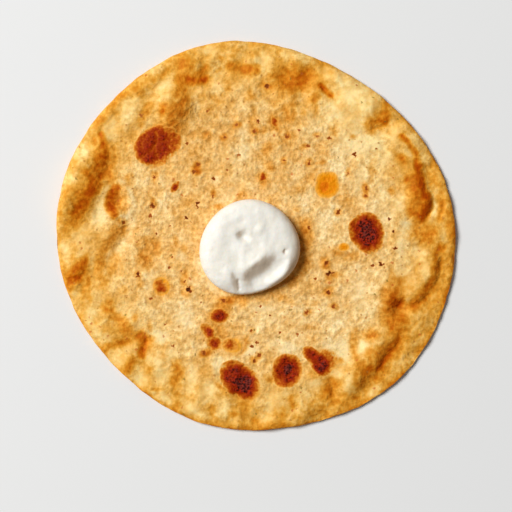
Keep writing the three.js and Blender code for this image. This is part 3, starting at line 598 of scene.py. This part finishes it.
# The underside is golden all over, with scattered spots: how many, how far out, and the least
# and most of their half size in mm, their roundness and how far they have gone.
UNDER_SPOTS = 90
UNDER_REACH = 100
UNDER_SIZES = (2.5, 9)
UNDER_ROUNDNESS = (0.6, 1)
UNDER_LEVELS = (0.3, 0.85)
UNDER_SPOT_FADE = 4.0
UNDER_TOAST = 0.3
UNDER_START = 0.2
under_random = random.Random(11)
under = np.zeros(len(places))
for _ in range(UNDER_SPOTS):
    distance = UNDER_REACH * math.sqrt(under_random.random())
    direction = under_random.uniform(0, 2 * math.pi)
    size = under_random.uniform(*UNDER_SIZES)
    spot = (
        distance * math.cos(direction), distance * math.sin(direction),
        size, size * under_random.uniform(*UNDER_ROUNDNESS), under_random.uniform(0, 180),
        under_random.uniform(*UNDER_LEVELS), UNDER_SPOT_FADE,
    )
    under = np.maximum(under, spot_level(bent_x, bent_y, spot))
is_under = looks_up(-normals, UNDER_START)
toast_and_painted_shade = toast_and_painted_shade * (1 - is_under) + UNDER_TOAST * is_under
char = char * (1 - is_under) + under * is_under

store_values(bread, "toast_and_painted_shade", toast_and_painted_shade)
store_values(bread, "char", char)
store_values(bread, "amber", amber * (1 - is_under))
store_values(bread, "pale", pale * (1 - is_under))
# How near the rim: there the crust is more golden and its crumb smoother.
RIM_START = 5
RIM_END = 50
store_values(bread, "rim", 1 - ease((inset - RIM_START) / (RIM_END - RIM_START)))

# ---------------------------------------------------------------- the bread's skin
# Wheat skin, dry and matt with a trace of butter: cream to tan in a fine mottle, with flecks of
# herb, chilli and bran. Toasting turns it golden, orange, brown and then almost black.


def linear(red, green, blue):
    """A colour from its usual 0 to 255 values, as the shader's own numbers."""
    values = [channel / 255 for channel in (red, green, blue)]
    return [v / 12.92 if v <= 0.04045 else ((v + 0.055) / 1.055) ** 2.4 for v in values] + [1.0]


# Dark specks of bran, seed and chilli: x, y, half size, how dark.
DARK_SPECKS = [
    # Upper left.
    (-55.8, 15.9, 1.2, 0.75), (-31.5, 17.2, 0.9, 0.9), (-31.5, 15.4, 0.6, 0.6), (-37.6, 9.0, 0.8, 0.8),
    (-53.5, 1.0, 0.7, 0.6), (-71.8, 6.6, 0.9, 0.5), (-22.7, 30.6, 0.7, 0.6), (-37.2, 49.8, 0.8, 0.5),
    (-55.1, 31.4, 0.9, 0.45), (-23.2, 21, 0.8, 0.42), (-9.0, 43.8, 0.9, 0.32), (-33.6, 34.6, 1.1, 0.5),
    (-31, 38.6, 1.0, 0.42), (-16.8, 53.1, 1.0, 0.36), (-10, 59.8, 0.9, 0.36), (-57.1, 10.4, 0.9, 0.42),
    (-26, 67.5, 0.7, 0.36), (-62, 65, 1.0, 0.3), (-46, 5, 0.6, 0.45), (-15, 35, 0.6, 0.4),
    # Upper right.
    (1.8, 62.2, 0.9, 0.7), (6.6, 81.3, 1.3, 0.66), (15.9, 40.6, 0.9, 0.5), (-0.4, 56.5, 1.0, 0.42),
    (29.6, 39.1, 1.0, 0.5), (28.6, 48.2, 0.9, 0.42), (40.6, 52.7, 0.9, 0.5), (54.2, 44.1, 0.9, 0.75),
    (55.0, 43.2, 0.6, 0.5), (45.4, 12.3, 1.1, 0.66), (60.5, 25.6, 1.0, 0.42), (60.4, 21.6, 0.8, 0.4),
    (73.2, 8.8, 0.8, 0.85), (75.4, 1.8, 0.8, 0.85), (29.3, 3.8, 0.7, 0.5), (24, 57, 0.7, 0.4),
    (50.6, 33.6, 0.8, 0.3), (17.3, 53.5, 1.1, 0.42), (34.1, 53.8, 0.9, 0.32), (66, 47, 0.6, 0.36),
    # Lower left.
    (-63.9, -21.6, 1.2, 1.0), (-64.9, -22.4, 0.7, 0.6), (-36.6, -29.8, 1.3, 1.0), (-35.4, -31, 0.8, 0.7),
    (-38.2, -25.0, 0.9, 0.5), (-40.4, -19.6, 0.7, 0.5), (-29.2, -36.5, 0.8, 0.42), (-17.2, -35.7, 1.1, 0.5),
    (-44.6, -60.7, 0.7, 0.45), (-28.1, -64.3, 1.0, 0.42), (-57, -35, 0.7, 0.4), (-49, -49, 0.7, 0.34),
    (-45, -12, 0.6, 0.45), (-47, -18, 0.6, 0.4), (-70, -33, 0.6, 0.36),
    # Lower right.
    (38.4, -15.3, 1.1, 0.6), (40.3, -21.1, 1.1, 0.9), (42.5, -20.6, 0.6, 0.5), (40.2, -31.2, 1.1, 0.7),
    (64.1, -16.6, 0.7, 0.55), (68.6, -15.9, 0.9, 0.85), (70, -15.6, 0.6, 0.6), (76.5, -7.7, 0.9, 0.8),
    (28.2, -42.4, 1.1, 0.45), (42.8, -39.6, 1.0, 0.5), (13.6, -53.2, 0.9, 0.5), (-2.1, -52.2, 0.9, 0.45),
    (2.1, -65.7, 0.9, 0.45), (-1.7, -61.0, 0.7, 0.6), (1, -59, 0.7, 0.6), (-0.8, -68.6, 1.0, 0.5),
    (8, -44, 0.7, 0.5), (3, -39, 0.7, 0.42), (23.6, -54.6, 0.8, 0.42), (33, -24, 0.6, 0.42),
]
# A speck fades in between these shares of its half size, and its edge is this ragged.
SPECK_FADE = (1.5, 0.4)
SPECK_RAGGEDNESS = 1.8 * MM


class Shader:
    """A material and its nodes. Most methods add nodes and return the output of the last one."""

    def __init__(self, name):
        self.material = bpy.data.materials.new(name)
        self.material.use_nodes = True
        self.nodes = self.material.node_tree.nodes
        self.links = self.material.node_tree.links
        self.skin = self.nodes["Principled BSDF"]
        self.place = self.nodes.new("ShaderNodeTexCoord").outputs["Object"]

    def put(self, socket, value):
        if isinstance(value, bpy.types.NodeSocket):
            self.links.new(value, socket)
        else:
            socket.default_value = value

    def noise(self, size_mm, detail=2.0, roughness=0.5, distortion=0.0):
        node = self.nodes.new("ShaderNodeTexNoise")
        self.links.new(self.place, node.inputs["Vector"])
        node.inputs["Scale"].default_value = 1 / (size_mm * MM)
        node.inputs["Detail"].default_value = detail
        node.inputs["Roughness"].default_value = roughness
        node.inputs["Distortion"].default_value = distortion
        return node.outputs["Fac"]

    def cells(self, size_mm):
        node = self.nodes.new("ShaderNodeTexVoronoi")
        self.links.new(self.place, node.inputs["Vector"])
        node.inputs["Scale"].default_value = 1 / (size_mm * MM)
        return node.outputs["Distance"], node.outputs["Color"]

    def specks(self, specks, ragged):
        """How dark the specks are at each place, with ragged edges."""
        flat = self.nodes.new("ShaderNodeVectorMath")
        flat.operation = "MULTIPLY"
        self.links.new(self.place, flat.inputs[0])
        flat.inputs[1].default_value = (1, 1, 0)
        darkest = 0.0
        for x, y, half_size, darkness in specks:
            away = self.nodes.new("ShaderNodeVectorMath")
            away.operation = "DISTANCE"
            self.links.new(flat.outputs[0], away.inputs[0])
            away.inputs[1].default_value = ((x + DISC_MIDDLE[0]) * MM, (y + DISC_MIDDLE[1]) * MM, 0)
            edge = self.math("ADD", away.outputs["Value"], ragged)
            outer, inner = (half_size * share * MM for share in SPECK_FADE)
            near = self.span(edge, outer, inner, 0.0, darkness)
            darkest = self.math("MAXIMUM", near, darkest)
        return darkest

    def stored(self, name):
        node = self.nodes.new("ShaderNodeAttribute")
        node.attribute_name = name
        return node.outputs["Fac"]

    def math(self, operation, a, b=0.0, c=0.0):
        node = self.nodes.new("ShaderNodeMath")
        node.operation = operation
        for socket, value in zip(node.inputs, (a, b, c)):
            self.put(socket, value)
        return node.outputs["Value"]

    def span(self, value, low, high, to_low=0.0, to_high=1.0):
        node = self.nodes.new("ShaderNodeMapRange")
        node.interpolation_type = "SMOOTHSTEP"
        for name, given in (("Value", value), ("From Min", low), ("From Max", high),
                            ("To Min", to_low), ("To Max", to_high)):
            self.put(node.inputs[name], given)
        return node.outputs["Result"]

    def ramp(self, value, stops):
        """A colour by value, from stops of a position and a colour's 0 to 255 values."""
        return self.blend(value, [(position, linear(*colour)) for position, colour in stops])

    def blend(self, value, stops):
        node = self.nodes.new("ShaderNodeValToRGB")
        elements = node.color_ramp.elements
        while len(elements) < len(stops):
            elements.new(0.5)
        for element, (position, colour) in zip(elements, stops):
            element.position = position
            element.color = colour
        self.put(node.inputs["Fac"], value)
        return node.outputs["Color"]

    def mix(self, share, a, b, blend="MIX"):
        node = self.nodes.new("ShaderNodeMix")
        node.data_type = "RGBA"
        node.blend_type = blend
        self.put(node.inputs[0], share)
        self.put(node.inputs[6], a)
        self.put(node.inputs[7], b)
        return node.outputs[2]

    def split(self, colour):
        node = self.nodes.new("ShaderNodeSeparateColor")
        self.links.new(colour, node.inputs["Color"])
        return node.outputs

    def add_up(self, *pairs):
        """The sum of values, each times its weight and centred on 0, plus a half."""
        total = 0.5
        for value, weight in pairs:
            centred = self.math("SUBTRACT", value, 0.5)
            total = self.math("MULTIPLY_ADD", centred, weight, total)
        return total

    def bump(self, height, distance_mm, strength=1.0):
        node = self.nodes.new("ShaderNodeBump")
        node.inputs["Distance"].default_value = distance_mm * MM
        node.inputs["Strength"].default_value = strength
        self.links.new(height, node.inputs["Height"])
        self.links.new(node.outputs["Normal"], self.skin.inputs["Normal"])


wheat = Shader("toasted_wheat_skin")
# The crumb's mottle in four sizes and the rim's wide patches, by their size in mm.
clouds = wheat.noise(9.0, 1)
blotches = wheat.noise(4.4, 1)
crumbs = wheat.noise(2.2, 1)
grains = wheat.noise(1.1, 1)
patches = wheat.noise(13.0, 1)
brightness = wheat.add_up((clouds, -0.1), (blotches, 0.7), (crumbs, 0.75), (grains, 0.5))

# Toasting works like a filter over the crumb: it takes blue first, then green, then red. It takes
# more blue near the rim, where the crust is fried in a little butter.
CRUMB = linear(238, 187, 113)
LEAST_TOAST = -0.24
MOST_TOAST = 1.4
FILTER_STEPS = 12
RED_LOSS = 0.40
MIDDLE_BLUE_LOSS = (0.03, 3.7, -0.35)
RIM_BLUE_LOSS = (0.21, 4.55, -0.55)
PALE_BLUE_RATE = 2.7


def toasted_crumb(how_far, blue_loss):
    """The crumb's colour after toasting."""
    red = RED_LOSS * how_far
    green = red + how_far
    rate = blue_loss[1] if how_far > 0 else PALE_BLUE_RATE
    blue = red + blue_loss[0] + rate * how_far + blue_loss[2] * how_far ** 2
    filtered = [channel * math.exp(-taken) for channel, taken in zip(CRUMB, (red, green, blue))]
    return [min(channel, 1.0) for channel in filtered] + [1.0]


def toast_stops(blue_loss):
    """The crumb's colours from the palest to the most toasted."""
    stops = []
    for step in range(FILTER_STEPS + 1):
        share = step / FILTER_STEPS
        how_far = LEAST_TOAST + (MOST_TOAST - LEAST_TOAST) * share
        stops.append((share, toasted_crumb(how_far, blue_loss)))
    return stops


pale_share = wheat.stored("pale")
rim = wheat.stored("rim")
# Puffed crust and the rim are smoother than the open crumb of the middle.
MOTTLE_ON_PUFFS = 0.5
MOTTLE_LOST_AT_RIM = 0.28
rim_share = wheat.span(rim, 0.1, 0.9)
crumb_off_puffs = wheat.span(pale_share, 0.05, 0.25, 1.0, MOTTLE_ON_PUFFS)
crumb_off_rim = wheat.math("MULTIPLY_ADD", rim_share, -MOTTLE_LOST_AT_RIM, 1.0)
crumb_strength = wheat.math("MULTIPLY", crumb_off_puffs, crumb_off_rim)
# How toasted a place is, with the shade some marks paint: by its marks, which the crumb breaks up,
# by the crumb's own unevenness and by wide patches round the rim.
RIM_PATCHINESS = 0.55
mottled = wheat.add_up((blotches, 1.0), (crumbs, 0.4))
marked_toast_and_shade = wheat.math("MULTIPLY", wheat.stored("toast_and_painted_shade"), wheat.span(mottled, 0.25, 0.75, 1.25, 0.75))
own_toast = wheat.add_up((clouds, 0.65), (blotches, -0.36), (crumbs, -0.22))
own_toast = wheat.math("MULTIPLY", wheat.math("SUBTRACT", own_toast, 0.5), crumb_strength)
rim_patches = wheat.math("SUBTRACT", patches, 0.5)
rim_toast = wheat.math("MULTIPLY", rim_patches, wheat.math("MULTIPLY", rim_share, RIM_PATCHINESS))
paler = wheat.math("MULTIPLY_ADD", pale_share, -1.0, own_toast)
toast_and_shade_level = wheat.math("ADD", wheat.math("ADD", marked_toast_and_shade, paler), rim_toast)
above_palest = wheat.math("SUBTRACT", toast_and_shade_level, LEAST_TOAST)
place_on_ramp = wheat.math("DIVIDE", above_palest, MOST_TOAST - LEAST_TOAST)
colour = wheat.mix(
    rim,
    wheat.blend(place_on_ramp, toast_stops(MIDDLE_BLUE_LOSS)),
    wheat.blend(place_on_ramp, toast_stops(RIM_BLUE_LOSS)),
)
# The crumb is lighter and darker by its mottle, and puffs are a little lighter.
CRUMB_CONTRAST = 0.62
PUFF_LIFT = 0.2
spread = wheat.math("MULTIPLY", wheat.math("SUBTRACT", brightness, 0.5), crumb_strength)
lift = wheat.math("MULTIPLY_ADD", pale_share, PUFF_LIFT, 1.0)
grey = wheat.math("MULTIPLY_ADD", spread, CRUMB_CONTRAST, lift)
colour = wheat.mix(1.0, colour, grey, "MULTIPLY")

# Flecks: bran, herb and chilli, each the middle of some of the cells of a random pattern. Cell
# size in mm, which cells, reach as a share of a cell, and colour.
FLECK_STRENGTH = 0.7
for size, chosen_above, reach, fleck_colour in (
    (3.2, 0.80, 0.24, (190, 122, 46)),
    (6.5, 0.80, 0.13, (146, 116, 42)),
    (5.0, 0.80, 0.18, (204, 104, 40)),
):
    distance, cell_colour = wheat.cells(size)
    chosen = wheat.span(wheat.split(cell_colour)["Red"], chosen_above, chosen_above + 0.02)
    ragged_distance = wheat.math("ADD", distance, wheat.span(grains, 0.3, 0.7, -0.06, 0.06))
    near = wheat.span(ragged_distance, reach, reach * 0.5)
    share = wheat.math("MULTIPLY", wheat.math("MULTIPLY", near, chosen), FLECK_STRENGTH)
    colour = wheat.mix(share, colour, linear(*fleck_colour))
ragged_edge = wheat.math("SUBTRACT", wheat.add_up((crumbs, 1.0), (grains, 1.0)), 0.5)
ragged_edge = wheat.math("MULTIPLY", ragged_edge, SPECK_RAGGEDNESS)
speck = wheat.specks(DARK_SPECKS, ragged_edge)
speck_colour = wheat.ramp(speck, [
    (0.10, (206, 132, 62)),
    (0.40, (166, 82, 22)),
    (0.70, (126, 58, 10)),
    (1.00, (84, 40, 12)),
])
colour = wheat.mix(wheat.span(speck, 0.02, 0.35), colour, speck_colour)

# Thin blisters, a clear orange with a golden border.
amber_value = wheat.math("MULTIPLY", wheat.stored("amber"), wheat.span(crumbs, 0.3, 0.7, 1.1, 0.9))
amber_colour = wheat.ramp(amber_value, [
    (0.06, (250, 198, 118)),
    (0.30, (246, 170, 56)),
    (0.62, (240, 150, 12)),
    (0.95, (226, 116, 4)),
])
colour = wheat.mix(wheat.span(amber_value, 0.02, 0.25), colour, amber_colour)

# Hot spots, with a thin golden border, a slightly ragged edge and a burnt, mottled middle whose lighter
# flecks are painted glints.
char_value = wheat.stored("char")
ragged = wheat.math("SUBTRACT", wheat.add_up((blotches, 0.55), (crumbs, 0.4), (grains, 0.25)), 0.5)
charred = wheat.math("MULTIPLY_ADD", wheat.span(char_value, 0.0, 0.3), ragged, char_value)
char_colour = wheat.ramp(charred, [
    (0.08, (238, 168, 66)),
    (0.26, (206, 118, 26)),
    (0.42, (184, 82, 8)),
    (0.58, (160, 52, 2)),
    (0.74, (140, 34, 4)),
    (0.88, (116, 28, 12)),
    (1.00, (94, 34, 26)),
])
# Painted glints: the burnt middle is mottled darker and, in flecks, up to twice as light, for light glinting
# on rough char.
char_mottle_and_glints = wheat.span(wheat.noise(1.15, 1), 0.3, 0.7, 0.25, 2.1)
glinting_char = wheat.mix(1.0, char_colour, char_mottle_and_glints, "MULTIPLY")
char_colour = wheat.mix(wheat.span(charred, 0.62, 0.86), char_colour, glinting_char)
colour = wheat.mix(wheat.span(charred, 0.03, 0.16), colour, char_colour)
wheat.links.new(colour, wheat.skin.inputs["Base Color"])
wheat.skin.inputs["Roughness"].default_value = 0.55
wheat.skin.inputs["Specular IOR Level"].default_value = 0.05
wheat.skin.inputs["Subsurface Weight"].default_value = 0.12
wheat.skin.inputs["Subsurface Radius"].default_value = (1.0, 0.5, 0.2)
wheat.skin.inputs["Subsurface Scale"].default_value = 1.6 * MM
height = wheat.math("MULTIPLY", wheat.add_up((blotches, 1.2), (crumbs, 0.9), (grains, 0.35)), crumb_strength)
wheat.bump(height, distance_mm=0.7, strength=0.8)
bread.data.materials.append(wheat.material)

# ---------------------------------------------------------------- the yogurt
# A spoonful of thick strained yogurt, set down and pressed with the back of the spoon: a round
# cushion with a steep rolled edge, a few dents and a valley across its lower half.
yogurt = fine_copy("yogurt_dollop", "thick_yogurt")
FOOT_DEPTH = 1.0
FOOT_HEIGHT = 1.2
yogurt_places = vertex_places(yogurt)
yogurt_base = yogurt_places[:, 2].min()
middle_x = (yogurt_places[:, 0].min() + yogurt_places[:, 0].max()) / 2
middle_y = (yogurt_places[:, 1].min() + yogurt_places[:, 1].max()) / 2
from_x = yogurt_places[:, 0] - middle_x
from_y = yogurt_places[:, 1] - middle_y
foot = 1 - ease((yogurt_places[:, 2] - yogurt_base) / FOOT_HEIGHT)
yogurt_places[:, 2] -= FOOT_DEPTH * foot

# Small marks of the spoon on top: path from the dollop's middle, width, height.
SPOON_MARKS = [
    ([(-6.2, -17), (-5.6, -24)], 1.4, -0.4),
    ([(8.4, -3), (4, -7.5), (-1, -11)], 2.4, 0.3),
    ([(19, -1), (19, -4)], 1.1, -0.4),
    ([(-1, 8.5), (1, 6)], 2.2, 0.4),
]
is_top = looks_up(vertex_normals(yogurt), YOGURT_UP_START)
marks = np.zeros(len(yogurt_places))
for path, width, height_mm in SPOON_MARKS:
    marks += height_mm * along_path(from_x, from_y, path, width)
yogurt_places[:, 2] += marks * is_top
move_vertices(yogurt, yogurt_places)

# Painted warm shade and reflection: the sides that slope away from the light are painted in the warm colour
# of light the bread throws on them.
PAINTED_SHADE_COLOUR = (222, 203, 179)
PAINTED_SHADE_TOWARDS = -26
PAINTED_SHADE_START = 0.12
PAINTED_SHADE_FADE = 0.45
yogurt_normals = vertex_normals(yogurt)
slope_away = (
    yogurt_normals[:, 0] * math.cos(math.radians(PAINTED_SHADE_TOWARDS))
    + yogurt_normals[:, 1] * math.sin(math.radians(PAINTED_SHADE_TOWARDS)))
store_values(yogurt, "painted_warm_shade", ease((slope_away - PAINTED_SHADE_START) / PAINTED_SHADE_FADE))
weigh_vertices(yogurt, "top", is_top)
roughen(yogurt, "yogurt_waves", 7.0, 0.9, 1, "top")

cream = Shader("moist_yogurt")
cream_tone = cream.noise(6.0, detail=2, roughness=0.5)
own_white = cream.ramp(cream_tone, [(0.35, (237, 232, 219)), (0.65, (243, 239, 229))])
# The base colour takes the painted warm shade on the sides away from the light.
cream.links.new(
    cream.mix(cream.stored("painted_warm_shade"), own_white, linear(*PAINTED_SHADE_COLOUR)), cream.skin.inputs["Base Color"])
cream.skin.inputs["Roughness"].default_value = 0.5
cream.skin.inputs["Specular IOR Level"].default_value = 0.3
cream.skin.inputs["Subsurface Weight"].default_value = 0.28
cream.skin.inputs["Subsurface Radius"].default_value = (1.0, 0.8, 0.6)
cream.skin.inputs["Subsurface Scale"].default_value = 2.0 * MM
cream_height = cream.add_up((cream.noise(4.0, 2), 1.0), (cream.noise(1.6, 2), 0.3))
cream.bump(cream_height, distance_mm=0.5, strength=0.7)
yogurt.data.materials.append(cream.material)

# ---------------------------------------------------------------- floor and light
# A pale matt studio floor under the food. One broad soft light from the upper left models the
# puffs and creases, and an even pale surround keeps their shaded sides open.
FLOOR_SIZE = 4.0
FLOOR_WHITE = (233, 233, 232)
bpy.ops.object.select_all(action="DESELECT")
bpy.ops.mesh.primitive_plane_add(size=FLOOR_SIZE, location=(0, 0, 0))
floor = bpy.context.active_object
floor.name = "studio_floor"
floor_paint = bpy.data.materials.new("pale_floor")
floor_paint.use_nodes = True
floor_skin = floor_paint.node_tree.nodes["Principled BSDF"]
floor_skin.inputs["Base Color"].default_value = linear(*FLOOR_WHITE)
floor_skin.inputs["Roughness"].default_value = 0.8
floor.data.materials.append(floor_paint)


def soft_light(name, place, size, power):
    """A round lamp that looks at the middle of the bread."""
    data = bpy.data.lights.new(name, "AREA")
    data.shape = "DISK"
    data.size = size
    data.energy = power
    lamp = bpy.data.objects.new(name, data)
    bpy.context.scene.collection.objects.link(lamp)
    lamp.location = place
    lamp.rotation_euler = (-Vector(place)).to_track_quat("-Z", "Y").to_euler()


# The light's direction from the bread, in degrees: round from +X, and up.
LIGHT_ROUND = 154
LIGHT_UP = 50
LIGHT_DISTANCE = 4.0
LIGHT_SIZE = 2.0
LIGHT_POWER = 180.0
SURROUND_STRENGTH = 0.15
level_distance = LIGHT_DISTANCE * math.cos(math.radians(LIGHT_UP))
light_place = (
    level_distance * math.cos(math.radians(LIGHT_ROUND)),
    level_distance * math.sin(math.radians(LIGHT_ROUND)),
    LIGHT_DISTANCE * math.sin(math.radians(LIGHT_UP)),
)
soft_light("window_light", light_place, LIGHT_SIZE, LIGHT_POWER)
surround = bpy.data.worlds.new("pale_surround")
surround.use_nodes = True
surround.node_tree.nodes["Background"].inputs["Color"].default_value = (1, 1, 1, 1)
surround.node_tree.nodes["Background"].inputs["Strength"].default_value = SURROUND_STRENGTH
bpy.context.scene.world = surround
bpy.context.scene.view_settings.view_transform = "Standard"
